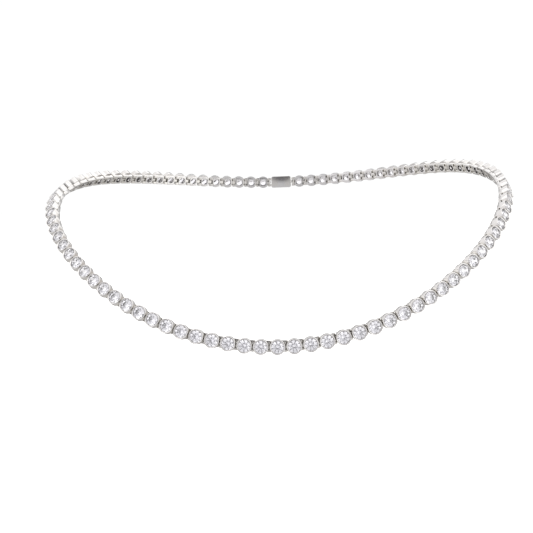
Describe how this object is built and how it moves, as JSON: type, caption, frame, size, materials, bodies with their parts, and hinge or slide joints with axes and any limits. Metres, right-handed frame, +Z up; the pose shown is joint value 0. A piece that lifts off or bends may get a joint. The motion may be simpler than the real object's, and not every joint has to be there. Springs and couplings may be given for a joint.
{
  "type": "riviere necklace",
  "caption": "Riviere necklace: one row of equal round brilliants in open-backed white metal tube settings, hinged to each other and closed at the nape by a plain box clasp.",
  "frame": {"origin": "centre of the clasp's inner face, where the necklace rests on the nape", "axes": "+X across the loop to the viewer's right, +Y to the back, so that the front hangs towards -Y, +Z up"},
  "size_m": [0.1433, 0.1114, 0.0528],
  "materials": {
    "white_metal": "rhodium-plated silver, mirror polished",
    "stone": "clear cut stone with polished flat facets"
  },
  "bodies": {
    "root": {"settings_left": "white_metal", "settings_right": "white_metal", "stones_left": "stone", "stones_right": "stone", "clasp": "white_metal"}
  },
  "joints": []
}
